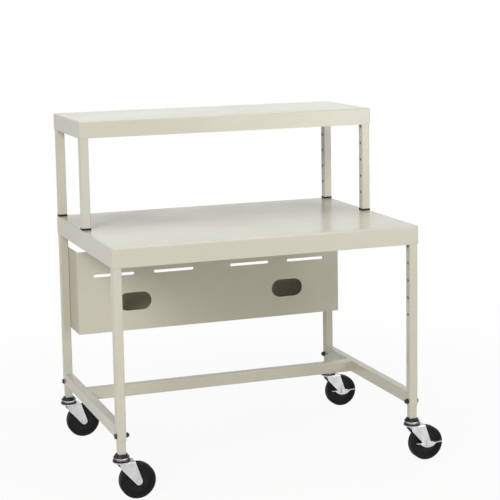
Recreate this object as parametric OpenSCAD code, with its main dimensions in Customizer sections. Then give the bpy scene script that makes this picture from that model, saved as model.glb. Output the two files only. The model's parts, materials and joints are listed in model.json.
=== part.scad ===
// Rolling steel workstation: a desk pan on four square legs, a raised shelf
// on four posts, a hanging cable box and four swivel casters.
// The origin is the centre of the desk top's upper face. +X is to the right
// of a person at the desk, -Y is the front and +Z is up.

/* [Desk] */
// Width of the desk top
desk_w = 914; // [760:1:1220]
// Depth of the desk top
desk_d = 660; // [600:1:800]
// Height of the desk top above the floor
desk_h = 705; // [680:1:800]
// Height of the desk top's apron
apron_h = 55; // [45:1:70]
// Thickness of the sheet steel of the desk top and the shelf
sheet_t = 1.5; // [1.2:0.1:2]
// Outside radius of the bend along a top edge
edge_r = 5; // [3:0.5:7]
// Radius of an upright corner of a pan
corner_r = 3; // [2.5:0.5:5]
// Width of the lip turned in at the bottom of an apron
lip_w = 12; // [8:1:16]
// Thickness of that lip
lip_t = 1.5; // [1:0.1:2]

/* [Desk stiffeners] */
// Number of hat channels under the desk top
hat_n = 2; // [1:1:3]
// Spacing of the hat channels
hat_pitch = 220; // [160:1:240]
// Width of a hat channel's crown
hat_w = 34; // [24:1:44]
// Height of a hat channel
hat_h = 24; // [16:1:32]
// Width of a hat channel's flange
hat_flange = 14; // [8:1:20]
// Thickness of a hat channel's sheet
hat_t = 1.2; // [1:0.1:2]
// Gap between a hat channel's end and the apron
hat_end_gap = 8; // [4:1:30]

/* [Legs and posts] */
// Outside width of the square tube
tube_w = 25.4; // [24:0.1:30]
// Wall of the square tube
tube_t = 1.5; // [1.2:0.1:2]
// Outside radius of a tube's edges
tube_r = 2.5; // [2.2:0.1:4]
// Height of a leg tube's lower end above the floor
leg_end_h = 168; // [160:1:180]
// Thickness of the plate that closes the top of a leg
cap_t = 3; // [2:0.5:5]
// Pitch of the height holes
hole_pitch = 50.8; // [40:0.1:60]
// Diameter of the height holes
hole_d = 9.5; // [8:0.1:10]
// Number of height holes in a leg
leg_hole_n = 5; // [3:1:5]
// Depth of the first height hole below the apron
leg_hole_drop = 6; // [5:0.1:12]
// Number of height holes in a post
post_hole_n = 5; // [3:1:5]

/* [Base] */
// Height of a rail's underside above the floor
rail_base_h = 172; // [168:1:190]
// Height of a rail
rail_h = 36; // [30:1:50]
// Wall of a rail
rail_t = 1.5; // [1.2:0.1:2]
// Place of the stretcher's front face behind the middle of the desk
stretcher_y = 99; // [0:1:150]
// Depth of the stretcher
stretcher_d = 25.4; // [20:0.1:30]

/* [Leg extensions] */
// Height of an extension's lower end above the floor
ext_end_h = 130.5; // [128:0.5:136]
// Length of an extension
ext_l = 112; // [90:1:140]
// Wall of an extension
ext_t = 1.6; // [1.2:0.1:2]
// Clearance between an extension and its leg on each side
ext_fit = 0.2; // [0.1:0.05:0.4]
// Height of the leg bolts above the floor
bolt_h = 181; // [178:1:190]

/* [Riser] */
// Depth of the raised shelf
riser_d = 330; // [250:1:400]
// Height of the shelf's upper face above the desk top
riser_h = 317; // [290:1:340]
// Height of the shelf's apron
riser_apron_h = 50; // [40:1:60]
// Height of the foot below a post
foot_h = 6; // [4:0.5:10]
// Width that a foot stands proud of its post on each side
foot_proud = 0.8; // [0.4:0.1:1.2]
// Depth of the foot's plug inside its post
foot_plug_l = 22; // [18:1:30]

/* [Cable box] */
// Height of the box's underside above the floor
box_base_h = 353; // [340:1:360]
// Height of the box
box_h = 255; // [245:1:270]
// Height of the box's rear wall
box_rear_h = 127; // [115:1:150]
// Place of the box's front face behind the middle of the desk
box_front_y = 194; // [160:1:220]
// Distance that its open back lies in front of the legs' rear faces
box_back_inset = 4; // [0:1:10]
// Thickness of the box's sheet
box_t = 1.2; // [1:0.1:2]
// Outside radius of the box's bends
box_r = 3; // [2.5:0.5:5]
// Height of the tray's lip behind the panel
tray_lip_h = 14; // [10:1:20]
// Clearance of the tray's corners from the panel's bends
tray_gap = 0.3; // [0.2:0.1:0.6]
// Length of a cable port
port_l = 104; // [80:1:120]
// Height of a cable port
port_h = 56; // [40:1:64]
// Distance of a port from the middle of the box
port_x = 251; // [200:1:280]
// Height of a port's centre above the box's underside
port_z = 90; // [80:1:96]
// Length of a strap slot
slot_l = 128; // [100:1:140]
// Height of a strap slot
slot_h = 8.4; // [6:0.1:12]
// Distance of an inner slot from the middle of the box
slot_in_x = 124.5; // [100:0.5:140]
// Distance of an outer slot from the middle of the box
slot_out_x = 316; // [290:1:330]
// Height of the slots above the box's underside
slot_z = 178; // [160:1:190]

/* [Brackets and screws] */
// Thickness of an angle bracket
bracket_t = 2.5; // [2:0.1:3.5]
// Outside radius of a bracket's bend
bracket_r = 4; // [3.6:0.1:5]
// Length of a bracket's upper leg
bracket_l = 32; // [26:1:40]
// Length of a bracket's lower leg
bracket_leg_l = 38; // [36:1:42]
// Gap between each side of a bracket and the pan's bend
bracket_gap = 0.2; // [0.1:0.1:0.6]
// Depth of a bracket's screw below the upper face of its pan
bracket_drop = 27; // [25:1:28]
// Clearance of a screw in its hole, on the diameter
screw_fit = 0.2; // [0.1:0.05:0.4]
// Diameter of a screw's flange
screw_head_d = 17; // [16:0.5:18]
// Height of a screw's head
screw_head_h = 4; // [3:0.5:5]
// Length of a screw's shank
screw_l = 9; // [6:0.5:12]

/* [Bolts and nuts] */
// Diameter of the leg bolts and riser studs
bolt_d = 8; // [6:0.5:10]
// Slack of a bolt in its hole, on the diameter
bolt_slack = 0.6; // [0.4:0.1:1.2]
// Width across flats of the heads and nuts
bolt_head_af = 13; // [12:0.5:15]
// Height of a leg bolt's head
bolt_head_h = 5.3; // [4:0.1:7]
// Height of the hexagon of a cap nut
cap_nut_h = 7; // [6:0.5:9]
// Radius of a cap nut's dome
cap_nut_dome_r = 6; // [5:0.1:6.4]
// Height of a plain nut
nut_h = 6.5; // [5:0.5:8]
// Length of a riser stud inside its foot
stud_in_l = 16; // [12:1:20]
// Length of a riser stud beyond its nut
stud_over_l = 2; // [1:0.5:4]
// Clearance of a thread in its nut, on the diameter
thread_fit = 0.1; // [0.05:0.05:0.2]

/* [Caster fork] */
// Distance of the axle behind the swivel axis
trail = 43; // [40:1:50]
// Thickness of the fork's plate
fork_t = 2.5; // [2:0.1:3]
// Gap between a tyre and the fork on each side
fork_side_gap = 2.5; // [2:0.5:4]
// Outside radius of the fork's bends
fork_bend_r = 4.5; // [3.5:0.5:6]
// Diameter of the fork's crown
crown_d = 49; // [46:1:52]
// Length of a fork leg's upper edge
fork_top_l = 42; // [38:1:46]
// Distance that this edge reaches in front of the swivel axis
fork_rear_l = 8; // [6:1:10]
// Depth of the upright edge behind the swivel axis
fork_shoulder = 16; // [12:1:22]
// Radius of the fork's rounded end
fork_end_r = 10; // [9:0.5:12]
// Width of the raised edge round a fork leg
fork_rim_w = 1.8; // [1:0.1:2.5]
// Height of that raised edge
fork_rim_h = 1; // [0.5:0.1:2]

/* [Caster bearing] */
// Diameter of the kingpin through the crown
kingpin_d = 8; // [7:0.5:9]
// Height of the kingpin's nut
kingpin_nut_h = 7; // [5:0.5:8]
// Length of the kingpin beyond its nut
kingpin_end_l = 4; // [1:0.5:5]
// Diameter of a bearing ball
ball_d = 4; // [3.5:0.1:4.5]
// Number of balls in a bearing
ball_n = 16; // [8:1:18]
// Radius of the circle that the balls run on
track_r = 13; // [12:0.5:13.5]
// Gap round a ball
ball_gap = 0.3; // [0.2:0.05:0.4]
// Depth of the ball groove in the crown
groove_depth = 0.5; // [0.3:0.1:1]
// Radius of the upper race
race_r = 18; // [17.5:0.5:20]
// Height from the fork's crown to the top of the upper race
race_h = 12; // [10:0.5:13]
// Wall of the upper race
race_wall = 2; // [1.5:0.1:2.5]
// Radius of the upper race's shoulder
race_edge_r = 3.5; // [2:0.5:5]
// Gap between the upper race and the crown
race_lift = 0.6; // [0.4:0.1:1]
// Gap between the dust ring and the upper race
ring_gap = 0.4; // [0.3:0.1:1]
// Height of the dust ring
ring_h = 4.5; // [3:0.5:6]

/* [Caster stem] */
// Diameter of the stem
stem_d = 11; // [10:0.1:12]
// Length of the stem inside its socket
stem_l = 38; // [30:1:44]
// Clearance of the stem in its socket, on the radius
stem_fit = 0.1; // [0.05:0.05:0.2]
// Height of the socket's flange
socket_flange_h = 9; // [7:0.5:11]
// Diameter of the flange at its lower end
socket_flange_d = 46; // [40:1:48]
// Diameter of the flange at its upper end
socket_neck_d = 33; // [32:1:36]
// Clearance of the socket in the leg extension on each side
socket_gap = 0.2; // [0.1:0.05:0.4]
// Length of the socket inside the leg extension
socket_plug_l = 42; // [40:1:44]

/* [Wheel] */
// Diameter of a wheel
wheel_d = 102; // [96:1:104]
// Width of a tyre
wheel_w = 30; // [26:1:34]
// Thickness of the tyre's tread
tyre_t = 12; // [10:1:16]
// Radius of the tyre's shoulders
tyre_shoulder_r = 6; // [4:0.5:8]
// Amount that each edge of the rim lies inside the tyre's side
rim_inset = 2.5; // [1:0.5:5]
// Thickness of the rim
rim_t = 5; // [3:0.5:7]
// Clearance between the rim and the tyre, on the radius
rim_fit = 0.05; // [0.02:0.01:0.1]
// Depth of the wheel's flat face inside its rim
web_inset = 2.5; // [1.5:0.5:6]
// Radius of the wheel's hub
hub_r = 10; // [8:0.5:13]
// Gap between the hub and the fork on each side
hub_gap = 0.5; // [0.3:0.1:1]
// Distance of the sidewall's ring from the tread
ring_inset = 8; // [7:0.5:9]
// Radius of the sidewall's ring
ring_r = 0.8; // [0.5:0.1:1.2]
// Running clearance of the wheels, kingpins and levers, on the radius
run_fit = 0.05; // [0.02:0.01:0.1]

/* [Axle] */
// Diameter of the axle
axle_d = 8; // [7:0.5:9]
// Clearance of the axle in the fork, on the diameter
axle_slack = 0.2; // [0.1:0.05:0.4]
// Width across flats of the axle's head and nut
axle_head_af = 12; // [11:0.5:13]
// Height of the axle's head
axle_head_h = 4.5; // [3:0.5:6]
// Length of the axle beyond its nut
axle_end_l = 2; // [1:0.5:4]

/* [Brake] */
// Half of the lever's length
lever_reach = 41; // [36:1:46]
// Drop of the lever's lower edge below the axle
lever_drop = 10.5; // [8:0.5:12]
// Radius of the curve of its lower edge
lever_low_r = 34; // [30:1:40]
// Height of the lever's upper edge above the axle
lever_rise = 7; // [5:0.5:9]
// Radius of the curve of its upper edge
lever_high_r = 120; // [80:5:160]
// Radius of the lever's boss
lever_boss_r = 9; // [8:0.5:10]
// Thickness of the lever
lever_t = 2; // [1.5:0.1:3]
// Distance of a pedal's inner end from the axle
pedal_x = 18; // [14:1:20]
// Upward slope of a pedal
pedal_slope = 4; // [0:1:10]
// Thickness of a pedal
pedal_t = 2.2; // [1.5:0.1:3]
// Width of a pedal
pedal_w = 10; // [6:1:14]
// Gap between the lever and the pieces beside it
lever_gap = 0.3; // [0.2:0.05:0.5]

/* [Hidden] */
$fn = 48;

// Colours
paint_colour = [0.80, 0.79, 0.72];
zinc_colour = [0.70, 0.70, 0.72];
black_colour = [0.08, 0.08, 0.08];
hub_colour = [0.10, 0.10, 0.11];

// Overrun of every cut
over = 1;
// Gap between a tube and the pan that wraps round it
pan_gap = 0.3;
// Facets of the large arcs
arc_facets = 160;
// Slope of the chamfer on a head's corners
chamfer_angle = 30;
// Width across corners of a hexagon, as a share of its width across flats
hex_af_share = 1 / cos(30);

// A height above the floor, as a height in the model
function up(h) = h - desk_h;

// Places of the legs and posts
tube_inset = sheet_t + pan_gap + tube_w / 2;
leg_x = desk_w / 2 - tube_inset;
leg_y = desk_d / 2 - tube_inset;
riser_front_y = desk_d / 2 - riser_d;
post_y = [riser_front_y + tube_inset, leg_y];
inner_face_x = leg_x - tube_w / 2;
tube_bore = tube_w - 2 * tube_t;
tube_bore_r = tube_r - tube_t;
// Width of what meets a pan's sheet inside its bends
pad_w = tube_w - 2 * (edge_r - sheet_t);
bracket_w = pad_w - 2 * bracket_gap;

// Heights of the holes
leg_rows = [for (i = [0 : leg_hole_n - 1]) -apron_h - leg_hole_drop - i * hole_pitch];
post_rows = [for (i = [1 : post_hole_n]) foot_h + i * hole_pitch];
// The box is screwed to its legs at the second height hole and at a lower one
box_screw_rows = [1, min(3, leg_hole_n - 1)];

// Holes and seats of the fasteners
screw_d = hole_d - screw_fit;
bolt_hole_d = bolt_d + bolt_slack;
thread_d = bolt_d + thread_fit;
// Seats of the nuts below the desk: under its sheet in front, under a leg's cap behind
nut_seats = [-sheet_t, -edge_r - cap_t];

// Cable box
box_gap = 0.3;
box_w = 2 * (inner_face_x - box_gap);
box_d = leg_y + tube_w / 2 - box_back_inset - box_front_y;

// Caster heights above the floor
axle_h = wheel_d / 2;
race_top_h = ext_end_h - socket_flange_h;
crown_h = race_top_h - race_h;
crown_base_h = crown_h - fork_t;
groove_r = ball_d / 2 + ball_gap;
ball_h = crown_h - groove_depth + groove_r;
race_ceiling_h = ball_h + groove_r;

// Widths across a caster
fork_in_w = wheel_w + 2 * fork_side_gap;
fork_out_w = fork_in_w + 2 * fork_t;
lever_face = fork_out_w / 2 + fork_rim_h + lever_gap;
rim_r = wheel_d / 2 - tyre_t;
rim_w = wheel_w - 2 * rim_inset;
hub_w = fork_in_w - 2 * hub_gap;

// Flat shapes

// A rectangle with round corners, centred
module round_rect(w, d, r) {
    square([w, d - 2 * r], center = true);
    square([w - 2 * r, d], center = true);
    for (sx = [-1, 1])
        for (sy = [-1, 1])
            translate([sx * (w / 2 - r), sy * (d / 2 - r)])
                circle(r);
}

// The end view of a pan: its top is at zero and its upper corners are bent
module crown_profile(w, h, r) {
    translate([-w / 2, -h])
        square([w, h - r]);
    translate([-w / 2 + r, -h])
        square([w - 2 * r, h]);
    for (s = [-1, 1])
        translate([s * (w / 2 - r), -r])
            circle(r);
}

// A slot with round ends, centred
module obround(l, h) {
    square([l - h, h], center = true);
    for (s = [-1, 1])
        translate([s * (l - h) / 2, 0])
            circle(h / 2);
}

// A hexagon by its width across flats
module hexagon(af) {
    circle(d = af * hex_af_share, $fn = 6);
}

// A hexagonal head or nut on zero: its upper corners are chamfered
module hex_block(af, h) {
    intersection() {
        linear_extrude(h)
            hexagon(af);
        cylinder(r1 = af / 2 + h / tan(chamfer_angle), r2 = af / 2, h = h);
    }
}

// An angle: both legs start at the origin's outer corner
module angle_profile(a, b, t, r) {
    difference() {
        union() {
            translate([r, 0])
                square([a - r, t]);
            translate([0, r])
                square([t, b - r]);
            difference() {
                translate([r, r])
                    circle(r);
                translate([r, 0])
                    square([r + over, 2 * r + over]);
                translate([-over, r])
                    square([2 * r + 2 * over, r + over]);
            }
        }
        translate([r, r])
            circle(r - t);
    }
}

// Solids of sheet steel

// A block whose upper edges and upright corners are bent
module crowned_block(w, d, h, edge, corner) {
    intersection() {
        rotate([90, 0, 90])
            linear_extrude(w + 2 * over, center = true)
                crown_profile(d, h, edge);
        rotate([90, 0, 0])
            linear_extrude(d + 2 * over, center = true)
                crown_profile(w, h, edge);
        translate([0, 0, -h - over])
            linear_extrude(h + 2 * over)
                round_rect(w, d, corner);
    }
}

// An upturned tray of sheet, open below
module sheet_pan(w, d, h, t, edge, corner) {
    difference() {
        crowned_block(w, d, h, edge, corner);
        translate([0, 0, -t])
            crowned_block(w - 2 * t, d - 2 * t, h, edge - t, corner - t);
    }
}

// The lip turned in round the bottom of an apron, notched for the tubes
module apron_lip(w, d, h) {
    notch = tube_w + 2 * pan_gap;
    translate([0, 0, -h])
        linear_extrude(lip_t)
            difference() {
                round_rect(w - sheet_t, d - sheet_t, corner_r - sheet_t / 2);
                square([w - 2 * lip_w, d - 2 * lip_w], center = true);
                for (sx = [-1, 1])
                    for (sy = [-1, 1])
                        translate([sx * (w / 2 - sheet_t - notch / 2),
                                   sy * (d / 2 - sheet_t - notch / 2)])
                            square(notch, center = true);
            }
}

// A pan with its lip, as used for the desk and for the shelf
module lipped_pan(w, d, h) {
    sheet_pan(w, d, h, sheet_t, edge_r, corner_r);
    apron_lip(w, d, h);
}

// A square tube along Z from zero
module square_tube(l, w, t, r) {
    linear_extrude(l)
        difference() {
            round_rect(w, w, r);
            round_rect(w - 2 * t, w - 2 * t, r - t);
        }
}

// A tube whose top end is closed below a pan. The cap's pad meets the sheet
// inside the pan's bends
module capped_tube(base, pan_top) {
    end = pan_top - edge_r;
    translate([0, 0, base])
        square_tube(end - base, tube_w, tube_t, tube_r);
    translate([0, 0, end - cap_t])
        linear_extrude(cap_t)
            round_rect(tube_bore + tube_t, tube_bore + tube_t, tube_bore_r);
    translate([0, 0, end - cap_t])
        linear_extrude(cap_t + edge_r - sheet_t)
            round_rect(pad_w, pad_w, tube_bore_r);
}

// Places: each child is put at the right corners of the object

module at_leg(sx, sy) {
    translate([sx * leg_x, sy * leg_y, 0])
        children();
}

module at_legs() {
    for (sx = [-1, 1])
        for (sy = [-1, 1])
            at_leg(sx, sy)
                children();
}

module at_posts() {
    for (sx = [-1, 1])
        for (y = post_y)
            translate([sx * leg_x, y, 0])
                children();
}

// A row of holes in the wall of a tube that faces the middle of the object
module inner_holes(sx, rows) {
    for (z = rows)
        translate([-sx * tube_w / 2, 0, z])
            rotate([0, 90, 0])
                cylinder(d = hole_d, h = tube_w, center = true);
}

// Desk

module desk_top() {
    color(paint_colour)
        difference() {
            lipped_pan(desk_w, desk_d, apron_h);
            at_posts()
                translate([0, 0, -sheet_t - over])
                    cylinder(d = bolt_hole_d, h = sheet_t + 2 * over);
        }
}

// The end view of a hat channel, with its flanges against the sheet above
module hat_profile() {
    difference() {
        union() {
            translate([-hat_w / 2, -hat_h])
                square([hat_w, hat_h]);
            translate([-hat_w / 2 - hat_flange, -hat_t])
                square([hat_w + 2 * hat_flange, hat_t]);
        }
        translate([-hat_w / 2 + hat_t, -hat_h + hat_t])
            square([hat_w - 2 * hat_t, hat_h + over]);
    }
}

module desk_stiffeners() {
    l = desk_w - 2 * (sheet_t + hat_end_gap);
    color(paint_colour)
        for (i = [0 : hat_n - 1])
            translate([0, (i - (hat_n - 1) / 2) * hat_pitch, -sheet_t])
                rotate([90, 0, 90])
                    linear_extrude(l, center = true)
                        hat_profile();
}

// An angle bracket under a pan, against the inner face of a tube
module pan_bracket(sx) {
    difference() {
        translate([-sx * tube_w / 2, bracket_w / 2, -sheet_t])
            scale([-sx, 1, -1])
                rotate([90, 0, 0])
                    linear_extrude(bracket_w)
                        angle_profile(bracket_l, bracket_leg_l, bracket_t, bracket_r);
        inner_holes(sx, [-bracket_drop]);
    }
}

module desk_brackets() {
    color(paint_colour)
        for (sx = [-1, 1])
            for (sy = [-1, 1])
                at_leg(sx, sy)
                    pan_bracket(sx);
}

// Legs and base

module leg(sx, sy) {
    color(paint_colour)
        at_leg(sx, sy)
            difference() {
                capped_tube(up(leg_end_h), 0);
                inner_holes(sx, concat(leg_rows, [-bracket_drop]));
                translate([0, 0, up(bolt_h)])
                    rotate([0, 90, 0])
                        cylinder(d = bolt_hole_d, h = tube_w + 2 * over, center = true);
                // A rear post is bolted down through the cap
                if (sy > 0)
                    translate([0, 0, -edge_r - cap_t - over])
                        cylinder(d = bolt_hole_d, h = edge_r + cap_t + 2 * over);
            }
}

module side_rail(sx) {
    l = 2 * leg_y - tube_w;
    color(paint_colour)
        translate([sx * leg_x, 0, up(rail_base_h + rail_h / 2)])
            rotate([90, 0, 0])
                linear_extrude(l, center = true)
                    difference() {
                        round_rect(tube_w, rail_h, tube_r);
                        round_rect(tube_w - 2 * rail_t, rail_h - 2 * rail_t, tube_r - rail_t);
                    }
}

module rear_stretcher() {
    color(paint_colour)
        translate([0, stretcher_y + stretcher_d / 2, up(rail_base_h + rail_h / 2)])
            rotate([90, 0, 90])
                linear_extrude(2 * inner_face_x, center = true)
                    difference() {
                        round_rect(stretcher_d, rail_h, tube_r);
                        round_rect(stretcher_d - 2 * rail_t, rail_h - 2 * rail_t, tube_r - rail_t);
                    }
}

module leg_extension(sx, sy) {
    w = tube_bore - 2 * ext_fit;
    color(paint_colour)
        at_leg(sx, sy)
            difference() {
                translate([0, 0, up(ext_end_h)])
                    square_tube(ext_l, w, ext_t, tube_r - ext_fit);
                translate([0, 0, up(bolt_h)])
                    rotate([0, 90, 0])
                        cylinder(d = bolt_hole_d, h = tube_w, center = true);
            }
}

// Fasteners

module leg_bolts() {
    color(black_colour)
        for (sx = [-1, 1])
            for (sy = [-1, 1])
                at_leg(sx, sy)
                    translate([0, 0, up(bolt_h)])
                        rotate([0, sx * 90, 0]) {
                            translate([0, 0, tube_w / 2])
                                hex_block(bolt_head_af, bolt_head_h);
                            translate([0, 0, -tube_w / 2 - cap_nut_h])
                                cylinder(d = bolt_d, h = tube_w + cap_nut_h);
                        }
}

module cap_nut() {
    difference() {
        union() {
            linear_extrude(cap_nut_h)
                hexagon(bolt_head_af);
            translate([0, 0, cap_nut_h - over])
                intersection() {
                    sphere(cap_nut_dome_r);
                    cylinder(r = cap_nut_dome_r, h = cap_nut_dome_r);
                }
        }
        translate([0, 0, -over])
            cylinder(d = thread_d, h = cap_nut_h + over);
    }
}

module leg_cap_nuts() {
    color(black_colour)
        for (sx = [-1, 1])
            for (sy = [-1, 1])
                at_leg(sx, sy)
                    translate([-sx * tube_w / 2, 0, up(bolt_h)])
                        rotate([0, -sx * 90, 0])
                            cap_nut();
}

// A flanged screw along Z: its head stands on zero and its shank goes below
module frame_screw() {
    cylinder(d1 = screw_head_d, d2 = screw_head_d - screw_head_h / 2, h = screw_head_h / 4);
    hex_block(screw_head_d - screw_head_h, screw_head_h);
    translate([0, 0, -screw_l])
        cylinder(d = screw_d, h = screw_l);
}

// A screw driven into the inner face of a tube through a sheet
module inner_screw(sx, sheet) {
    translate([-sx * (tube_w / 2 + sheet), 0, 0])
        rotate([0, -sx * 90, 0])
            frame_screw();
}

module frame_screws() {
    color(zinc_colour)
        for (sx = [-1, 1]) {
            for (sy = [-1, 1])
                at_leg(sx, sy)
                    translate([0, 0, -bracket_drop])
                        inner_screw(sx, bracket_t);
            for (y = post_y)
                translate([sx * leg_x, y, riser_h - bracket_drop])
                    inner_screw(sx, bracket_t);
            for (row = box_screw_rows)
                at_leg(sx, 1)
                    translate([0, 0, leg_rows[row]])
                        inner_screw(sx, box_gap + box_t);
        }
}

// Cable box

// A sheet folded up on both sides: its flat side is at zero
module folded_profile(w, h, t, r) {
    mirror([0, 1])
        difference() {
            crown_profile(w, h, r);
            translate([0, -t])
                crown_profile(w - 2 * t, h + over, r - t);
        }
}

// The front panel, with its ends folded back along the rear legs
module cable_box_panel() {
    base = up(box_base_h);
    color(paint_colour)
        translate([0, box_front_y, base])
            difference() {
                linear_extrude(box_h)
                    folded_profile(box_w, box_d, box_t, box_r);
                for (s = [-1, 1]) {
                    translate([s * port_x, 0, port_z])
                        rotate([90, 0, 0])
                            linear_extrude(4 * box_t, center = true)
                                obround(port_l, port_h);
                    for (x = [slot_in_x, slot_out_x])
                        translate([s * x, 0, slot_z])
                            rotate([90, 0, 0])
                                linear_extrude(4 * box_t, center = true)
                                    obround(slot_l, slot_h);
                    for (row = box_screw_rows)
                        translate([s * box_w / 2, leg_y - box_front_y, leg_rows[row] - base])
                            rotate([0, 90, 0])
                                cylinder(d = hole_d, h = 4 * box_t, center = true);
                }
            }
}

// The floor of the box, with a lip welded behind the panel and a low rear
// wall, so that cables drop in from behind
module cable_box_tray() {
    l = box_w - 2 * box_t;
    d = box_d - box_t;
    notch = box_r - box_t + tray_gap;
    color(paint_colour)
        translate([0, box_front_y + box_t, up(box_base_h)])
            difference() {
                translate([0, d / 2, 0])
                    rotate([90, 0, 90])
                        linear_extrude(l, center = true)
                            difference() {
                                folded_profile(d, box_rear_h, box_t, box_r);
                                translate([-d / 2 - over, tray_lip_h])
                                    square([d / 2, box_rear_h]);
                            }
                for (s = [-1, 1])
                    translate([s * l / 2, 0, 0])
                        cube([2 * notch, 2 * notch, 3 * tray_lip_h], center = true);
            }
}

// Riser

module riser_shelf() {
    color(paint_colour)
        translate([0, riser_front_y + riser_d / 2, riser_h])
            lipped_pan(desk_w, riser_d, riser_apron_h);
}

module riser_brackets() {
    color(paint_colour)
        for (sx = [-1, 1])
            for (y = post_y)
                translate([sx * leg_x, y, riser_h])
                    pan_bracket(sx);
}

module riser_post(sx, y) {
    color(paint_colour)
        translate([sx * leg_x, y, 0])
            difference() {
                capped_tube(foot_h, riser_h);
                inner_holes(sx, concat(post_rows, [riser_h - bracket_drop]));
            }
}

module riser_feet() {
    w = tube_w + 2 * foot_proud;
    plug = tube_bore - 2 * socket_gap;
    color(black_colour)
        at_posts()
            difference() {
                union() {
                    linear_extrude(foot_h)
                        round_rect(w, w, tube_r);
                    linear_extrude(foot_h + foot_plug_l)
                        round_rect(plug, plug, tube_bore_r);
                }
                translate([0, 0, -over])
                    cylinder(d = thread_d, h = stud_in_l + over);
            }
}

// Studs and nuts are drawn for each post, with the seat of its nut
module at_nut_seats() {
    for (sx = [-1, 1])
        for (i = [0, 1])
            translate([sx * leg_x, post_y[i], nut_seats[i]])
                children(i);
}

module riser_stud(seat) {
    translate([0, 0, -nut_h - stud_over_l])
        cylinder(d = bolt_d, h = nut_h + stud_over_l - seat + stud_in_l);
}

module riser_studs() {
    color(zinc_colour)
        at_nut_seats() {
            riser_stud(nut_seats[0]);
            riser_stud(nut_seats[1]);
        }
}

module riser_nut() {
    translate([0, 0, -nut_h])
        linear_extrude(nut_h)
            difference() {
                hexagon(bolt_head_af);
                circle(d = thread_d);
            }
}

module riser_nuts() {
    color(zinc_colour)
        at_nut_seats() {
            riser_nut();
            riser_nut();
        }
}

// Casters: each piece is drawn round the swivel axis, with the wheel trailing
// towards +X and heights above the floor

module at_caster(sx, sy) {
    at_leg(sx, sy)
        translate([0, 0, up(0)])
            children();
}

module caster_sockets() {
    plug = tube_bore - 2 * (ext_fit + ext_t + socket_gap);
    color(black_colour)
        for (sx = [-1, 1])
            for (sy = [-1, 1])
                at_caster(sx, sy)
                    difference() {
                        union() {
                            translate([0, 0, race_top_h])
                                cylinder(d1 = socket_flange_d, d2 = socket_neck_d, h = socket_flange_h);
                            translate([0, 0, ext_end_h - over])
                                linear_extrude(socket_plug_l + over)
                                    round_rect(plug, plug, tube_bore_r);
                        }
                        translate([0, 0, race_top_h - over])
                            cylinder(d = stem_d + 2 * stem_fit, h = socket_flange_h + stem_l + 2 * over);
                    }
}

// Half of the upper race's section: its shoulder is round and its underside
// is hollowed for the balls
module race_profile() {
    low = crown_h + race_lift;
    difference() {
        union() {
            translate([0, low])
                square([race_r, race_top_h - race_edge_r - low]);
            translate([0, low])
                square([race_r - race_edge_r, race_top_h - low]);
            translate([race_r - race_edge_r, race_top_h - race_edge_r])
                circle(race_edge_r);
        }
        translate([track_r - groove_r, crown_h])
            square([race_r - race_wall - track_r + groove_r, race_ceiling_h - crown_h]);
    }
}

// The stem, the upper race and the kingpin are one riveted piece
module caster_stem(sx, sy) {
    nut_top = crown_base_h - race_lift;
    end = nut_top - kingpin_nut_h - kingpin_end_l;
    color(zinc_colour)
        at_caster(sx, sy) {
            rotate_extrude()
                race_profile();
            translate([0, 0, race_top_h - over])
                cylinder(d = stem_d, h = stem_l + over);
            translate([0, 0, end])
                cylinder(d = kingpin_d, h = race_ceiling_h - end);
            translate([0, 0, nut_top])
                mirror([0, 0, 1])
                    hex_block(bolt_head_af, kingpin_nut_h);
        }
}

module swivel_balls(sx, sy) {
    color(zinc_colour)
        at_caster(sx, sy)
            for (i = [0 : ball_n - 1])
                rotate(i * 360 / ball_n)
                    translate([track_r, 0, ball_h])
                        sphere(d = ball_d);
}

module dust_ring(sx, sy) {
    color(black_colour)
        at_caster(sx, sy)
            translate([0, 0, crown_h])
                linear_extrude(ring_h)
                    difference() {
                        circle(d = crown_d);
                        circle(race_r + ring_gap);
                    }
}

// Where the line from a point touches a circle, on one side or the other
function touch(p, c, r, side) =
    let (d = c - p, l = norm(d), a = atan2(d[1], d[0]) + side * asin(r / l))
    p + sqrt(l * l - r * r) * [cos(a), sin(a)];

// A point moved inwards, square to its tangent line
function inset_point(p, c, r, side, inset) =
    let (q = touch(p, c, r, side), u = (q - p) / norm(q - p))
    p + inset * side * [u[1], -u[0]];

// The side view of a fork leg: it tapers from the crown to its round end. The
// inset draws the same shape inside its raised edge
module fork_outline(inset) {
    end = [trail, axle_h];
    rear = inset_point([-fork_rear_l, crown_h - fork_shoulder], end, fork_end_r, -1, -inset);
    front = inset_point([fork_top_l - fork_rear_l, crown_h], end, fork_end_r, 1, -inset);
    end_r = fork_end_r - inset;
    polygon([[rear[0], crown_h], rear, touch(rear, end, end_r, -1), end,
             touch(front, end, end_r, 1), front]);
    translate(end)
        circle(end_r);
}

// The end view of the fork: an inverted channel with round bends
module fork_channel(w) {
    difference() {
        translate([0, crown_h])
            crown_profile(w, crown_h, fork_bend_r);
        translate([0, crown_base_h])
            crown_profile(fork_in_w, crown_h, fork_bend_r - fork_t);
    }
}

module fork_legs() {
    intersection() {
        translate([-fork_rear_l - over, 0, 0])
            rotate([90, 0, 90])
                linear_extrude(fork_rear_l + trail + fork_end_r + 2 * over)
                    fork_channel(fork_out_w);
        rotate([90, 0, 0])
            linear_extrude(fork_out_w + 2 * over, center = true)
                fork_outline(0);
    }
    // The raised edges stop below the bends
    for (s = [-1, 1])
        translate([0, s * (fork_out_w / 2 + fork_rim_h / 2), 0])
            rotate([90, 0, 0])
                linear_extrude(fork_rim_h, center = true)
                    difference() {
                        fork_outline(0);
                        fork_outline(fork_rim_w);
                        translate([-trail, crown_h - fork_bend_r])
                            square([2 * trail + fork_top_l, fork_bend_r + over]);
                    }
}

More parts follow.
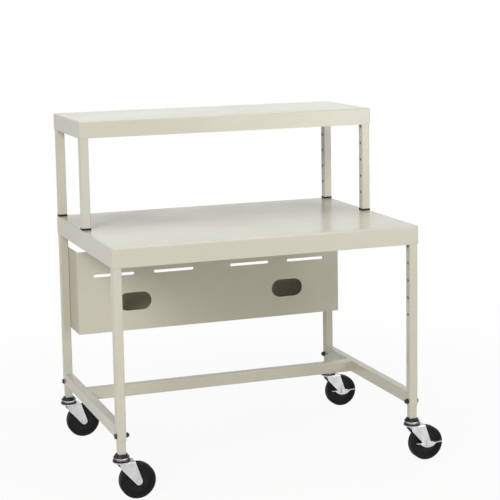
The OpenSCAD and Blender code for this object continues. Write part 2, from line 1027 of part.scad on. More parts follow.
module caster_fork(sx, sy) {
    color(zinc_colour)
        at_caster(sx, sy)
            difference() {
                union() {
                    fork_legs();
                    translate([0, 0, crown_base_h])
                        cylinder(d = crown_d, h = fork_t);
                }
                translate([0, 0, crown_base_h - over])
                    cylinder(r = kingpin_d / 2 + run_fit, h = fork_t + 2 * over);
                // Groove that the balls run in
                rotate_extrude()
                    translate([track_r, ball_h])
                        circle(groove_r);
                translate([trail, 0, axle_h])
                    rotate([90, 0, 0])
                        cylinder(d = axle_d + axle_slack, h = fork_out_w + 2 * over, center = true);
            }
}

// A bolt through the fork, with its head at the front. On the right-hand
// casters the brake lever turns between the head and the fork
module axle(sx, sy) {
    seat = sx > 0 ? lever_face + lever_t + lever_gap : fork_out_w / 2;
    color(zinc_colour)
        at_axle(sx, sy) {
            translate([0, 0, -fork_out_w / 2 - nut_h - axle_end_l])
                cylinder(d = axle_d, h = fork_out_w / 2 + nut_h + axle_end_l + seat);
            translate([0, 0, seat])
                hex_block(axle_head_af, axle_head_h);
            translate([0, 0, -fork_out_w / 2])
                mirror([0, 0, 1])
                    hex_block(axle_head_af, nut_h);
        }
}

// Wheels

module at_axle(sx, sy) {
    at_caster(sx, sy)
        translate([trail, 0, axle_h])
            rotate([90, 0, 0])
                children();
}

// A moulded centre: a hub, a flat web and a rim round it
module wheel_hub(sx, sy) {
    color(hub_colour)
        at_axle(sx, sy)
            rotate_extrude()
                translate([axle_d / 2 + run_fit, 0]) {
                    translate([0, -hub_w / 2])
                        square([hub_r - axle_d / 2 - run_fit, hub_w]);
                    translate([0, -rim_w / 2 + web_inset])
                        square([rim_r - rim_t / 2 - axle_d / 2 - run_fit, rim_w - 2 * web_inset]);
                    translate([rim_r - rim_t - axle_d / 2 - run_fit, -rim_w / 2])
                        square([rim_t - rim_fit, rim_w]);
                }
}

module tyre(sx, sy) {
    color(black_colour)
        at_axle(sx, sy)
            rotate_extrude()
                difference() {
                    union() {
                        translate([rim_r, -wheel_w / 2])
                            square([tyre_t - tyre_shoulder_r, wheel_w]);
                        translate([rim_r, -wheel_w / 2 + tyre_shoulder_r])
                            square([tyre_t, wheel_w - 2 * tyre_shoulder_r]);
                        for (s = [-1, 1]) {
                            translate([wheel_d / 2 - tyre_shoulder_r, s * (wheel_w / 2 - tyre_shoulder_r)])
                                circle(tyre_shoulder_r);
                            // The moulded ring round the sidewall
                            translate([wheel_d / 2 - ring_inset, s * wheel_w / 2])
                                circle(ring_r, $fn = 16);
                        }
                    }
                    translate([0, -wheel_w])
                        square([rim_r, 2 * wheel_w]);
                }
}

// Brake

// The lever's side view: a lens between two arcs, with a boss on the axle
module lever_outline() {
    intersection() {
        translate([0, lever_low_r - lever_drop])
            circle(lever_low_r, $fn = arc_facets);
        translate([0, lever_rise - lever_high_r])
            circle(lever_high_r, $fn = arc_facets);
    }
    circle(lever_boss_r);
}

// The side view of a pedal: a strip along the lever's upper edge, out to a
// round tip
module pedal_outline() {
    edge = lever_rise - lever_high_r + sqrt(pow(lever_high_r, 2) - pow(pedal_x, 2));
    strip_l = (lever_reach - pedal_x) / cos(pedal_slope) - pedal_t / 2;
    translate([pedal_x, edge - pedal_t / 2])
        rotate(pedal_slope) {
            translate([0, -pedal_t / 2])
                square([strip_l, pedal_t]);
            translate([strip_l, 0])
                circle(pedal_t / 2);
        }
}

module brake_lever(sx, sy) {
    color(zinc_colour)
        at_axle(sx, sy)
            translate([0, 0, lever_face]) {
                linear_extrude(lever_t)
                    difference() {
                        lever_outline();
                        circle(axle_d / 2 + run_fit);
                    }
                for (s = [0, 1])
                    mirror([s, 0, 0])
                        linear_extrude(pedal_w)
                            pedal_outline();
            }
}

desk_top();
desk_stiffeners();
desk_brackets();
leg(-1, -1);  // front_left_leg
leg(1, -1);  // front_right_leg
leg(-1, 1);  // rear_left_leg
leg(1, 1);  // rear_right_leg
side_rail(-1);  // left_side_rail
side_rail(1);  // right_side_rail
rear_stretcher();
leg_extension(-1, -1);  // front_left_leg_extension
leg_extension(1, -1);  // front_right_leg_extension
leg_extension(-1, 1);  // rear_left_leg_extension
leg_extension(1, 1);  // rear_right_leg_extension
leg_bolts();
leg_cap_nuts();
frame_screws();
cable_box_panel();
cable_box_tray();
riser_shelf();
riser_brackets();
riser_post(-1, post_y[0]);  // front_left_riser_post
riser_post(1, post_y[0]);  // front_right_riser_post
riser_post(-1, post_y[1]);  // rear_left_riser_post
riser_post(1, post_y[1]);  // rear_right_riser_post
riser_feet();
riser_studs();
riser_nuts();
caster_sockets();
caster_stem(-1, -1);  // front_left_caster_stem
caster_stem(1, -1);  // front_right_caster_stem
caster_stem(-1, 1);  // rear_left_caster_stem
caster_stem(1, 1);  // rear_right_caster_stem
caster_fork(-1, -1);  // front_left_caster_fork
caster_fork(1, -1);  // front_right_caster_fork
caster_fork(-1, 1);  // rear_left_caster_fork
caster_fork(1, 1);  // rear_right_caster_fork
swivel_balls(-1, -1);  // front_left_swivel_balls
swivel_balls(1, -1);  // front_right_swivel_balls
swivel_balls(-1, 1);  // rear_left_swivel_balls
swivel_balls(1, 1);  // rear_right_swivel_balls
dust_ring(-1, -1);  // front_left_dust_ring
dust_ring(1, -1);  // front_right_dust_ring
dust_ring(-1, 1);  // rear_left_dust_ring
dust_ring(1, 1);  // rear_right_dust_ring
axle(-1, -1);  // front_left_axle
axle(1, -1);  // front_right_axle
axle(-1, 1);  // rear_left_axle
axle(1, 1);  // rear_right_axle
wheel_hub(-1, -1);  // front_left_wheel_hub
wheel_hub(1, -1);  // front_right_wheel_hub
wheel_hub(-1, 1);  // rear_left_wheel_hub
wheel_hub(1, 1);  // rear_right_wheel_hub
tyre(-1, -1);  // front_left_tyre
tyre(1, -1);  // front_right_tyre
tyre(-1, 1);  // rear_left_tyre
tyre(1, 1);  // rear_right_tyre
brake_lever(1, -1);  // front_right_brake_lever
brake_lever(1, 1);  // rear_right_brake_lever
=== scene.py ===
# Looks for the rolling steel workstation: finishes, welds, threads, light and
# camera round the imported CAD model. Lengths are in metres.
import bpy
import json
import math
from mathutils import Matrix, Vector


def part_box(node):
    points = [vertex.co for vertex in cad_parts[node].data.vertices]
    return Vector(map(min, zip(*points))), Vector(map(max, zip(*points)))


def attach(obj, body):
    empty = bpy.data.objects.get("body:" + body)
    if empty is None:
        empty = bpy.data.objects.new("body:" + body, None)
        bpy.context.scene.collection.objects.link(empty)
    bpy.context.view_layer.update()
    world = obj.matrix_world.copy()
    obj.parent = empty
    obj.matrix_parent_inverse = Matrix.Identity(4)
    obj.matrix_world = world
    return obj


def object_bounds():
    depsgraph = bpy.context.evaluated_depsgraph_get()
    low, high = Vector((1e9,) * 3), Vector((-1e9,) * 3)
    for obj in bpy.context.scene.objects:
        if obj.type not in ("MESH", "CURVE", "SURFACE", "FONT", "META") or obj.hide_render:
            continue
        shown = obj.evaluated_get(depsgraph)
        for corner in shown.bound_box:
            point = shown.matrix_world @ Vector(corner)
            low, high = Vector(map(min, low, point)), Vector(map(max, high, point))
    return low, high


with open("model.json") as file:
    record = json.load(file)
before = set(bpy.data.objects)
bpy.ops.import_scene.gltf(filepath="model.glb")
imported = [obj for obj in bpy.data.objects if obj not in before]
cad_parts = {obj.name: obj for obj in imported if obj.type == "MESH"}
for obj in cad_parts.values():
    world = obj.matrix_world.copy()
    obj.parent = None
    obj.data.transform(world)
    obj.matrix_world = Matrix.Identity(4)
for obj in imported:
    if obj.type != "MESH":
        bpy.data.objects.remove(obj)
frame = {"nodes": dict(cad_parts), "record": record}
nodes = frame["nodes"]
cadLow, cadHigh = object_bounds()
print("frame loaded, nodes:", len(nodes))


# Helpers

def fromScreen(red, green, blue):
    # a colour as a screen shows it, 0 to 255, turned into Blender's linear one
    def turned(value):
        share = value / 255
        return share / 12.92 if share <= 0.04045 else ((share + 0.055) / 1.055) ** 2.4
    return (turned(red), turned(green), turned(blue), 1.0)


def fillInputs(tree, node, inputs):
    # an input takes a value, or a socket to link from
    for name, value in inputs.items():
        socket = node.inputs[name]
        if isinstance(value, bpy.types.NodeSocket):
            tree.links.new(value, socket)
        else:
            socket.default_value = value


def addNode(tree, kind, inputs=None, **settings):
    node = tree.nodes.new(kind)
    for name, value in settings.items():
        setattr(node, name, value)
    fillInputs(tree, node, inputs or {})
    return node


def addMath(tree, operation, first, second):
    return addNode(tree, "ShaderNodeMath", {0: first, 1: second}, operation=operation).outputs[0]


def addMixedColour(tree, factor, first, second):
    mix = addNode(tree, "ShaderNodeMix", {0: factor, 6: first, 7: second}, data_type="RGBA")
    return mix.outputs[2]


def addRemap(tree, value, fromLow, fromHigh, toLow, toHigh):
    return addNode(tree, "ShaderNodeMapRange", {
        "Value": value, "From Min": fromLow, "From Max": fromHigh,
        "To Min": toLow, "To Max": toHigh}).outputs["Result"]


def addSeenRays(tree):
    # 1 for rays from the camera and by way of gloss or glass, 0 for the rest
    ray = addNode(tree, "ShaderNodeLightPath")
    seen = addMath(tree, "MAXIMUM", ray.outputs["Is Camera Ray"], ray.outputs["Is Glossy Ray"])
    return addMath(tree, "MAXIMUM", seen, ray.outputs["Is Transmission Ray"])


def newGroup(name, kind, inputs, outputs):
    tree = bpy.data.node_groups.new(name, kind)
    for label, socketType, value in inputs:
        socket = tree.interface.new_socket(name=label, in_out="INPUT", socket_type=socketType)
        if value is not None:
            socket.default_value = value
    for label, socketType in outputs:
        tree.interface.new_socket(name=label, in_out="OUTPUT", socket_type=socketType)
    return tree, tree.nodes.new("NodeGroupInput"), tree.nodes.new("NodeGroupOutput")


def useGroup(tree, group, **inputs):
    node = tree.nodes.new("ShaderNodeGroup")
    node.node_tree = group
    fillInputs(tree, node, inputs)
    return node


# Shared effects, as groups with their own inputs

def makeEdgeWearAndHighlight():
    # where an edge is sharper than the radius, broken up by noise; the mask carries worn edges
    # and painted edge highlights
    slightBend, sharpBend = 0.99, 0.82        # cosines of the turn inside the radius
    tree, start, end = newGroup("edgeWearAndHighlight", "ShaderNodeTree", [
        ("radius", "NodeSocketFloat", 0.001),
        ("breakUp", "NodeSocketFloat", 60.0),
        ("amount", "NodeSocketFloat", 0.5)], [("mask", "NodeSocketFloat")])
    bevel = addNode(tree, "ShaderNodeBevel", {"Radius": start.outputs["radius"]}, samples=6)
    surface = addNode(tree, "ShaderNodeNewGeometry")
    along = addNode(tree, "ShaderNodeVectorMath", {
        0: bevel.outputs["Normal"], 1: surface.outputs["Normal"]}, operation="DOT_PRODUCT")
    edge = addRemap(tree, along.outputs["Value"], slightBend, sharpBend, 0.0, 1.0)
    place = addNode(tree, "ShaderNodeTexCoord")
    noise = addNode(tree, "ShaderNodeTexNoise", {
        "Vector": place.outputs["Object"], "Scale": start.outputs["breakUp"], "Detail": 5.0})
    broken = addRemap(tree, noise.outputs["Fac"], 0.42, 0.62, 0.15, 1.0)
    full = addMath(tree, "MULTIPLY", edge, broken)
    wornAndHighlit = addMath(tree, "MULTIPLY", full, start.outputs["amount"])
    tree.links.new(wornAndHighlit, end.inputs["mask"])
    return tree


def makeGrain():
    # a fine height, and a slow drift of tone and gloss
    tree, start, end = newGroup("grain", "ShaderNodeTree", [
        ("fineScale", "NodeSocketFloat", 900.0),
        ("slowScale", "NodeSocketFloat", 6.0)],
        [("height", "NodeSocketFloat"), ("drift", "NodeSocketFloat")])
    place = addNode(tree, "ShaderNodeTexCoord")
    fine = addNode(tree, "ShaderNodeTexNoise", {
        "Vector": place.outputs["Object"], "Scale": start.outputs["fineScale"], "Detail": 2.0})
    slow = addNode(tree, "ShaderNodeTexNoise", {
        "Vector": place.outputs["Object"], "Scale": start.outputs["slowScale"], "Detail": 4.0})
    drift = addRemap(tree, slow.outputs["Fac"], 0.35, 0.65, 0.0, 1.0)
    tree.links.new(fine.outputs["Fac"], end.inputs["height"])
    tree.links.new(drift, end.inputs["drift"])
    return tree


def makeStreaks():
    # noise drawn out along one axis, as rolling and plating leave it
    tree, start, end = newGroup("streaks", "ShaderNodeTree", [
        ("stretch", "NodeSocketVector", (1.0, 1.0, 1.0)),
        ("scale", "NodeSocketFloat", 200.0)], [("mask", "NodeSocketFloat")])
    place = addNode(tree, "ShaderNodeTexCoord")
    drawn = addNode(tree, "ShaderNodeVectorMath", {
        0: place.outputs["Object"], 1: start.outputs["stretch"]}, operation="MULTIPLY")
    noise = addNode(tree, "ShaderNodeTexNoise", {
        "Vector": drawn.outputs["Vector"], "Scale": start.outputs["scale"], "Detail": 3.0})
    tree.links.new(noise.outputs["Fac"], end.inputs["mask"])
    return tree


def makeSettledDust():
    # thin dust on what faces up
    tree, start, end = newGroup("settledDust", "ShaderNodeTree", [
        ("scale", "NodeSocketFloat", 14.0),
        ("amount", "NodeSocketFloat", 0.2)], [("mask", "NodeSocketFloat")])
    surface = addNode(tree, "ShaderNodeNewGeometry")
    parts = addNode(tree, "ShaderNodeSeparateXYZ", {0: surface.outputs["Normal"]})
    up = addRemap(tree, parts.outputs["Z"], 0.3, 1.0, 0.0, 1.0)
    place = addNode(tree, "ShaderNodeTexCoord")
    noise = addNode(tree, "ShaderNodeTexNoise", {
        "Vector": place.outputs["Object"], "Scale": start.outputs["scale"], "Detail": 6.0})
    patchy = addRemap(tree, noise.outputs["Fac"], 0.3, 0.7, 0.2, 1.0)
    full = addMath(tree, "MULTIPLY", up, patchy)
    dust = addMath(tree, "MULTIPLY", full, start.outputs["amount"])
    tree.links.new(dust, end.inputs["mask"])
    return tree


def makePaintedRecessShade():
    # painted shade: darker in holes, tube insides, corners and narrow gaps, found by ambient
    # occlusion within the reach
    openShare, closedShare = 0.55, 0.30       # shares of open space around a point
    tree, start, end = newGroup("paintedRecessShade", "ShaderNodeTree", [
        ("reach", "NodeSocketFloat", 0.016)], [("mask", "NodeSocketFloat")])
    closed = addNode(tree, "ShaderNodeAmbientOcclusion", {"Distance": start.outputs["reach"]},
                     samples=8, only_local=True)
    mask = addRemap(tree, closed.outputs["AO"], openShare, closedShare, 0.0, 1.0)
    tree.links.new(mask, end.inputs["mask"])
    return tree


edgeWearAndHighlight = makeEdgeWearAndHighlight()
paintedRecessShade = makePaintedRecessShade()
grain = makeGrain()
streaks = makeStreaks()
settledDust = makeSettledDust()
print("shared effects made")


# Finishes

def newMaterial(name, constants):
    material = bpy.data.materials.new(name)
    material.use_nodes = True
    tree = material.node_tree
    tree.nodes.clear()
    shader = addNode(tree, "ShaderNodeBsdfPrincipled", constants)
    out = addNode(tree, "ShaderNodeOutputMaterial", {"Surface": shader.outputs["BSDF"]})
    out.is_active_output = True
    return material, tree, shader


powderCoat = {
    "colour": fromScreen(205, 203, 188),
    "warmColour": fromScreen(202, 199, 182),
    "driftScale": 3.5,
    "gloss": (0.19, 0.27),        # least and most roughness
    "peelScale": 420.0,
    "peelDepth": 0.000008,
    "peelStrength": 0.5,
    # lighter paint on sharp edges: partly worn edge, partly painted highlight
    "wearAndHighlightColour": fromScreen(222, 221, 210),
    "wearAndHighlight": {"radius": 0.0012, "breakUp": 45.0, "amount": 0.45},
    "dustColour": fromScreen(190, 187, 176),
    "dust": {"scale": 18.0, "amount": 0.10},
    # colour of the painted shade in holes, recesses and tube insides
    "recessShadeColour": fromScreen(52, 50, 46),
    "recessShadeReach": 0.016,
}


def makePowderCoat():
    value = powderCoat
    material, tree, shader = newMaterial("powderCoat", {"Specular IOR Level": 0.5})
    skin = useGroup(tree, grain, fineScale=value["peelScale"], slowScale=value["driftScale"])
    wornAndHighlit = useGroup(tree, edgeWearAndHighlight, **value["wearAndHighlight"])
    dust = useGroup(tree, settledDust, **value["dust"])
    recessShade = useGroup(tree, paintedRecessShade, reach=value["recessShadeReach"])
    base = addMixedColour(tree, skin.outputs["drift"], value["colour"], value["warmColour"])
    # lighter edges: partly wear, partly painted highlight
    base = addMixedColour(tree, wornAndHighlit.outputs["mask"], base, value["wearAndHighlightColour"])
    base = addMixedColour(tree, dust.outputs["mask"], base, value["dustColour"])
    # painted shade in holes, recesses and tube insides
    base = addMixedColour(tree, recessShade.outputs["mask"], base, value["recessShadeColour"])
    tree.links.new(base, shader.inputs["Base Color"])
    gloss = addRemap(tree, skin.outputs["drift"], 0.0, 1.0, *value["gloss"])
    tree.links.new(gloss, shader.inputs["Roughness"])
    bump = addNode(tree, "ShaderNodeBump", {
        "Height": skin.outputs["height"], "Distance": value["peelDepth"],
        "Strength": value["peelStrength"]})
    tree.links.new(bump.outputs["Normal"], shader.inputs["Normal"])
    return material


zincPlate = {
    "colour": fromScreen(206, 206, 207),
    "cloudColour": fromScreen(188, 189, 192),
    "cloudScale": 55.0,
    # painted highlight: a brighter rim along sharp zinc edges, partly wear
    "wearAndHighlightColour": fromScreen(232, 232, 231),
    "wearAndHighlight": {"radius": 0.0006, "breakUp": 160.0, "amount": 0.7},
    "gloss": (0.28, 0.44),
    "streaks": {"stretch": (1.0, 1.0, 0.12), "scale": 420.0},
    "streakDepth": 0.00003,
    "streakStrength": 0.6,
}


def makeZincPlate():
    value = zincPlate
    material, tree, shader = newMaterial("zincPlate", {"Metallic": 1.0})
    clouds = useGroup(tree, grain, slowScale=value["cloudScale"])
    lines = useGroup(tree, streaks, **value["streaks"])
    wornAndHighlit = useGroup(tree, edgeWearAndHighlight, **value["wearAndHighlight"])
    base = addMixedColour(tree, clouds.outputs["drift"], value["colour"], value["cloudColour"])
    # brighter edges: painted highlight, partly wear
    base = addMixedColour(tree, wornAndHighlit.outputs["mask"], base, value["wearAndHighlightColour"])
    tree.links.new(base, shader.inputs["Base Color"])
    gloss = addRemap(tree, lines.outputs["mask"], 0.3, 0.7, *value["gloss"])
    tree.links.new(gloss, shader.inputs["Roughness"])
    bump = addNode(tree, "ShaderNodeBump", {
        "Height": lines.outputs["mask"], "Distance": value["streakDepth"],
        "Strength": value["streakStrength"]})
    tree.links.new(bump.outputs["Normal"], shader.inputs["Normal"])
    return material


darkFinishes = {
    "black_steel": {
        "name": "blackOxide",
        "colour": fromScreen(16, 16, 17), "wearAndHighlightColour": fromScreen(76, 74, 72),
        "gloss": (0.30, 0.42), "grainScale": 1100.0, "grainDepth": 0.00003,
        "dust": 0.04, "wearAndHighlight": 0.4, "specular": 0.5},
    "black_plastic": {
        "name": "mouldedBlack",
        "colour": fromScreen(14, 14, 15), "wearAndHighlightColour": fromScreen(42, 42, 43),
        "gloss": (0.36, 0.50), "grainScale": 1600.0, "grainDepth": 0.00003,
        "dust": 0.04, "wearAndHighlight": 0.25, "specular": 0.3},
    "hub_plastic": {
        "name": "nylonBlack",
        "colour": fromScreen(12, 12, 13), "wearAndHighlightColour": fromScreen(40, 40, 41),
        "gloss": (0.45, 0.60), "grainScale": 1300.0, "grainDepth": 0.00004,
        "dust": 0.04, "wearAndHighlight": 0.2, "specular": 0.2},
    "tyre_rubber": {
        "name": "tyreRubber",
        "colour": fromScreen(11, 11, 11), "wearAndHighlightColour": fromScreen(36, 35, 34),
        "gloss": (0.55, 0.72), "grainScale": 900.0, "grainDepth": 0.00006,
        "dust": 0.05, "wearAndHighlight": 0.2, "specular": 0.2},
}
darkShared = {
    "driftScale": 40.0,
    "grainStrength": 0.6,
    "wearRadius": 0.0007,
    "wearBreakUp": 120.0,
    "dustColour": fromScreen(120, 116, 108),
    "dustScale": 60.0,
    "dustRoughness": 0.6,
}


def makeDark(value):
    shared = darkShared
    material, tree, shader = newMaterial(value["name"], {"Specular IOR Level": value["specular"]})
    skin = useGroup(tree, grain, fineScale=value["grainScale"], slowScale=shared["driftScale"])
    wornAndHighlit = useGroup(tree, edgeWearAndHighlight, radius=shared["wearRadius"], breakUp=shared["wearBreakUp"],
                    amount=value["wearAndHighlight"])
    dust = useGroup(tree, settledDust, scale=shared["dustScale"], amount=value["dust"])
    base = addMixedColour(tree, wornAndHighlit.outputs["mask"], value["colour"], value["wearAndHighlightColour"])
    base = addMixedColour(tree, dust.outputs["mask"], base, shared["dustColour"])
    tree.links.new(base, shader.inputs["Base Color"])
    gloss = addRemap(tree, skin.outputs["drift"], 0.0, 1.0, *value["gloss"])
    dustGloss = addMath(tree, "MULTIPLY", dust.outputs["mask"], shared["dustRoughness"])
    tree.links.new(addMath(tree, "ADD", gloss, dustGloss), shader.inputs["Roughness"])
    bump = addNode(tree, "ShaderNodeBump", {
        "Height": skin.outputs["height"], "Distance": value["grainDepth"],
        "Strength": shared["grainStrength"]})
    tree.links.new(bump.outputs["Normal"], shader.inputs["Normal"])
    return material


finishes = {"paint": makePowderCoat(), "zinc": makeZincPlate()}
for slotName, darkValue in darkFinishes.items():
    finishes[slotName] = makeDark(darkValue)
slotOfNode = {row["node"]: row["material_slot"] for row in frame["record"]["subparts"]}
for nodeName, nodeObject in nodes.items():
    nodeObject.data.materials.clear()
    nodeObject.data.materials.append(finishes[slotOfNode[nodeName]])
print("finishes given to the CAD nodes")


# Pieces made by Geometry Nodes

def setModifierInput(modifier, tree, label, value):
    for item in tree.interface.items_tree:
        if item.item_type == "SOCKET" and item.in_out == "INPUT" and item.name == label:
            modifier[item.identifier] = value


def pieceFromTree(name, source, tree, inputs, body):
    # the tree's result as a plain mesh that rides on one body
    holder = bpy.data.objects.new(name + "Source", source)
    bpy.context.scene.collection.objects.link(holder)
    modifier = holder.modifiers.new(name, "NODES")
    modifier.node_group = tree
    for label, value in inputs.items():
        setModifierInput(modifier, tree, label, value)
    graph = bpy.context.evaluated_depsgraph_get()
    mesh = bpy.data.meshes.new_from_object(holder.evaluated_get(graph))
    bpy.data.objects.remove(holder)
    piece = bpy.data.objects.new(name, mesh)
    bpy.context.scene.collection.objects.link(piece)
    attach(piece, body)
    return piece


weldBeads = {
    "beadRadius": 0.0019,
    "pitch": 0.0015,
    "unevenness": 0.16,
    "insetInRadii": 1.5,          # how far each weld stops short of the tube's edge
    "seed": 7,
}


def makeWeldTree():
    tree, start, end = newGroup("weldBeads", "GeometryNodeTree", [
        ("paths", "NodeSocketGeometry", None),
        ("beadRadius", "NodeSocketFloat", 0.002),
        ("pitch", "NodeSocketFloat", 0.0015),
        ("unevenness", "NodeSocketFloat", 0.1),
        ("seed", "NodeSocketInt", 1),
        ("finish", "NodeSocketMaterial", None)], [("beads", "NodeSocketGeometry")])
    given = start.outputs
    line = addNode(tree, "GeometryNodeMeshToCurve", {"Mesh": given["paths"]})
    spaced = addNode(tree, "GeometryNodeResampleCurve", {
        "Curve": line.outputs["Curve"], "Length": given["pitch"]}, mode="LENGTH")
    drop = addNode(tree, "GeometryNodeMeshIcoSphere", {
        "Radius": given["beadRadius"], "Subdivisions": 2})
    least = addMath(tree, "SUBTRACT", 1.0, given["unevenness"])
    most = addMath(tree, "ADD", 1.0, given["unevenness"])
    size = addNode(tree, "FunctionNodeRandomValue", {
        "Min": least, "Max": most, "Seed": given["seed"]}, data_type="FLOAT")
    placed = addNode(tree, "GeometryNodeInstanceOnPoints", {
        "Points": spaced.outputs["Curve"], "Instance": drop.outputs["Mesh"]})
    tree.links.new(next(o for o in size.outputs if o.enabled), placed.inputs["Scale"])
    solid = addNode(tree, "GeometryNodeRealizeInstances", {
        "Geometry": placed.outputs["Instances"]})
    smooth = addNode(tree, "GeometryNodeSetShadeSmooth", {"Geometry": solid.outputs["Geometry"]})
    done = addNode(tree, "GeometryNodeSetMaterial", {
        "Geometry": smooth.outputs["Geometry"], "Material": given["finish"]})
    tree.links.new(done.outputs["Geometry"], end.inputs["beads"])
    return tree


def linesMesh(name, lines):
    points = [p for line in lines for p in line]
    edges = [(2 * i, 2 * i + 1) for i in range(len(lines))]
    mesh = bpy.data.meshes.new(name)
    mesh.from_pydata(points, edges, [])
    return mesh


def weldLines():
    # across the top and bottom of each rail at its legs, and up both sides of
    # the stretcher at its rails
    inset = weldBeads["beadRadius"] * weldBeads["insetInRadii"]
    lines = []
    for side in ("left", "right"):
        low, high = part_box(side + "_side_rail")
        for y in (low.y, high.y):
            for z in (low.z, high.z):
                lines.append([(low.x + inset, y, z), (high.x - inset, y, z)])
    low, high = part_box("rear_stretcher")
    for x in (low.x, high.x):
        for y in (low.y, high.y):
            lines.append([(x, y, low.z + inset), (x, y, high.z - inset)])
    return lines


pieceFromTree("rail_welds", linesMesh("weldPaths", weldLines()), makeWeldTree(), {
    "beadRadius": weldBeads["beadRadius"], "pitch": weldBeads["pitch"],
    "unevenness": weldBeads["unevenness"], "seed": weldBeads["seed"],
    "finish": finishes["paint"]}, "cart")
print("welds made")


threadTurns = {
    "pitch": 0.00125,
    "wireRadius": 0.00034,
    "rodRadius": 0.004,
    "pointsInTurn": 20,
    "marginInWires": 3,           # what stays bare at the rod's end
    "sunkInWires": 0.4,           # how deep the turns sit in the rod
    "axleEnd": 0.002,             # lengths of rod that stand out past the nuts
    "kingpinEnd": 0.004,
}


def makeThreadTree():
    tree, start, end = newGroup("threadTurns", "GeometryNodeTree", [
        ("paths", "NodeSocketGeometry", None),
        ("rodRadius", "NodeSocketFloat", 0.004),
        ("pitch", "NodeSocketFloat", 0.00125),
        ("wireRadius", "NodeSocketFloat", 0.0003),
        ("length", "NodeSocketFloat", 0.004),
        ("pointsInTurn", "NodeSocketInt", 16),
        ("finish", "NodeSocketMaterial", None)], [("threads", "NodeSocketGeometry")])
    given = start.outputs
    turns = addMath(tree, "DIVIDE", given["length"], given["pitch"])
    helix = addNode(tree, "GeometryNodeCurveSpiral", {
        "Resolution": given["pointsInTurn"], "Rotations": turns, "Height": given["length"],
        "Start Radius": given["rodRadius"], "End Radius": given["rodRadius"]})
    ridge = addNode(tree, "GeometryNodeCurvePrimitiveCircle", {
        "Resolution": 4, "Radius": given["wireRadius"]})
    wire = addNode(tree, "GeometryNodeCurveToMesh", {
        "Curve": helix.outputs["Curve"], "Profile Curve": ridge.outputs["Curve"],
        "Fill Caps": True})
    line = addNode(tree, "GeometryNodeMeshToCurve", {"Mesh": given["paths"]})
    first = addNode(tree, "GeometryNodeCurveEndpointSelection", {"Start Size": 1, "End Size": 0})
    along = addNode(tree, "GeometryNodeInputTangent")
    turned = addNode(tree, "FunctionNodeAlignRotationToVector", {
        "Vector": along.outputs["Tangent"]}, axis="Z")
    placed = addNode(tree, "GeometryNodeInstanceOnPoints", {
        "Points": line.outputs["Curve"], "Selection": first.outputs["Selection"],
        "Instance": wire.outputs["Mesh"], "Rotation": turned.outputs["Rotation"]})
    solid = addNode(tree, "GeometryNodeRealizeInstances", {
        "Geometry": placed.outputs["Instances"]})
    done = addNode(tree, "GeometryNodeSetMaterial", {
        "Geometry": solid.outputs["Geometry"], "Material": given["finish"]})
    tree.links.new(done.outputs["Geometry"], end.inputs["threads"])
    return tree


def makeThreads():
    # on what stands out of each nut: axles to the rear, kingpins down
    value = threadTurns
    tree = makeThreadTree()
    margin = value["marginInWires"] * value["wireRadius"]

    def thread(name, lines, length, body):
        pieceFromTree(name, linesMesh(name + "Paths", lines), tree, {
            "rodRadius": value["rodRadius"] - value["sunkInWires"] * value["wireRadius"],
            "pitch": value["pitch"], "wireRadius": value["wireRadius"], "length": length - margin,
            "pointsInTurn": value["pointsInTurn"], "finish": finishes["zinc"]}, body)

    kingpins = []
    for corner in ("front_left", "front_right", "rear_left", "rear_right"):
        low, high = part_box(corner + "_axle")
        middle = Vector(((low.x + high.x) / 2, high.y - value["axleEnd"], (low.z + high.z) / 2))
        thread(corner + "_axle_thread", [[middle, middle + Vector((0.0, value["axleEnd"], 0.0))]],
               value["axleEnd"], corner + "_swivel")
        low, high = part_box(corner + "_caster_stem")
        middle = Vector(((low.x + high.x) / 2, (low.y + high.y) / 2, low.z + value["kingpinEnd"]))
        kingpins.append([middle, middle - Vector((0.0, 0.0, value["kingpinEnd"]))])
    thread("kingpin_threads", kingpins, value["kingpinEnd"], "cart")


makeThreads()
print("threads made")


# Light, floor and camera

stageLook = {
    "floorColour": (0.68, 0.655, 0.61, 1.0),
    "floorHalf": 9.0,
    "whiteNear": 0.93,            # share of plain white that the camera sees in the floor
    "fadeFrom": 0.7,              # distances at which the floor starts to turn, and is, white
    "fadeTo": 2.4,
    "ambient": 0.16,
    "ambientColour": (1.0, 0.965, 0.89, 1.0),
}


def makeFloor():
    half, z = stageLook["floorHalf"], cadLow.z
    mesh = bpy.data.meshes.new("floor")
    corners = [(-half, -half, z), (half, -half, z), (half, half, z), (-half, half, z)]
    mesh.from_pydata(corners, [], [(0, 1, 2, 3)])
    floor = bpy.data.objects.new("floor", mesh)
    bpy.context.scene.collection.objects.link(floor)
    material = bpy.data.materials.new("floorPaper")
    material.use_nodes = True
    tree = material.node_tree
    tree.nodes.clear()
    paper = addNode(tree, "ShaderNodeBsdfDiffuse", {"Color": stageLook["floorColour"]})
    white = addNode(tree, "ShaderNodeEmission", {"Color": (1.0, 1.0, 1.0, 1.0), "Strength": 1.0})
    place = addNode(tree, "ShaderNodeTexCoord")
    far = addNode(tree, "ShaderNodeVectorMath", {
        0: place.outputs["Object"], 1: (0.0, 0.0, z)}, operation="DISTANCE")
    fade = addNode(tree, "ShaderNodeMapRange", {
        "Value": far.outputs["Value"], "From Min": stageLook["fadeFrom"],
        "From Max": stageLook["fadeTo"], "To Min": stageLook["whiteNear"]},
        interpolation_type="SMOOTHSTEP")
    share = addMath(tree, "MULTIPLY", fade.outputs["Result"], addSeenRays(tree))
    mix = addNode(tree, "ShaderNodeMixShader", {
        0: share, 1: paper.outputs[0], 2: white.outputs[0]})
    addNode(tree, "ShaderNodeOutputMaterial", {"Surface": mix.outputs[0]})
    mesh.materials.append(material)


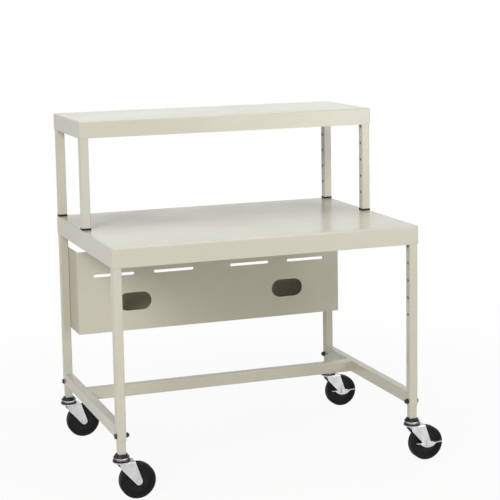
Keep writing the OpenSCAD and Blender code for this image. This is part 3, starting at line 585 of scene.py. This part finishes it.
def makeWorld():
    world = bpy.data.worlds.new("studio")
    bpy.context.scene.world = world
    world.use_nodes = True
    tree = world.node_tree
    tree.nodes.clear()
    seen = addSeenRays(tree)
    strength = addRemap(tree, seen, 0.0, 1.0, stageLook["ambient"], 1.0)
    tint = addMixedColour(tree, seen, stageLook["ambientColour"], (1.0, 1.0, 1.0, 1.0))
    back = addNode(tree, "ShaderNodeBackground", {"Color": tint, "Strength": strength})
    addNode(tree, "ShaderNodeOutputWorld", {"Surface": back.outputs[0]})


lamps = {
    # name: place, what it points at, size, power in watts
    "keyLamp": ((-3.0, -3.2, 2.2), (0.0, 0.0, -0.1), 2.0, 135.0),
    "topLamp": ((0.3, 0.2, 3.2), (0.0, 0.0, 0.0), 2.6, 54.0),
    "fillLamp": ((2.2, -3.9, 0.5), (0.0, 0.0, -0.3), 2.2, 58.0),
    "rearLamp": ((4.2, 2.4, 0.4), (0.0, 0.0, -0.2), 2.0, 40.0),
}


def aimed(place, target):
    return (Vector(target) - Vector(place)).to_track_quat("-Z", "Y").to_matrix().to_4x4()


def makeLamps():
    for name, (place, target, size, power) in lamps.items():
        data = bpy.data.lights.new(name, "AREA")
        data.shape, data.size, data.energy = "DISK", size, power
        lamp = bpy.data.objects.new(name, data)
        bpy.context.scene.collection.objects.link(lamp)
        lamp.matrix_world = Matrix.Translation(place) @ aimed(place, target)


cameraFit = {
    # fitted to the object's corners in the photograph
    "place": (-1.4474, -4.1598, 0.6830),
    "yaw": 0.3477,
    "pitch": 0.1405,
    "roll": -0.0166,
    "lens": 107.222,
    "sensor": 36.0,
    "shiftY": -0.1,
}


def makeCamera():
    value = cameraFit
    yaw, pitch, roll = value["yaw"], value["pitch"], value["roll"]
    level = math.cos(pitch)
    ahead = Vector((math.sin(yaw) * level, math.cos(yaw) * level, -math.sin(pitch)))
    right = Vector((math.cos(yaw), -math.sin(yaw), 0.0))
    up = right.cross(ahead)
    turnedRight = right * math.cos(roll) + up * math.sin(roll)
    turnedUp = up * math.cos(roll) - right * math.sin(roll)
    turn = Matrix((turnedRight, turnedUp, -ahead)).transposed().to_4x4()
    data = bpy.data.cameras.new("camera")
    data.sensor_width, data.lens = value["sensor"], value["lens"]
    data.shift_y = value["shiftY"]
    data.dof.use_dof = False
    camera = bpy.data.objects.new("camera", data)
    bpy.context.scene.collection.objects.link(camera)
    camera.matrix_world = Matrix.Translation(value["place"]) @ turn
    bpy.context.scene.camera = camera


makeFloor()
makeWorld()
makeLamps()
makeCamera()
bpy.context.scene.view_settings.view_transform = "Standard"
print("light, floor and camera set")
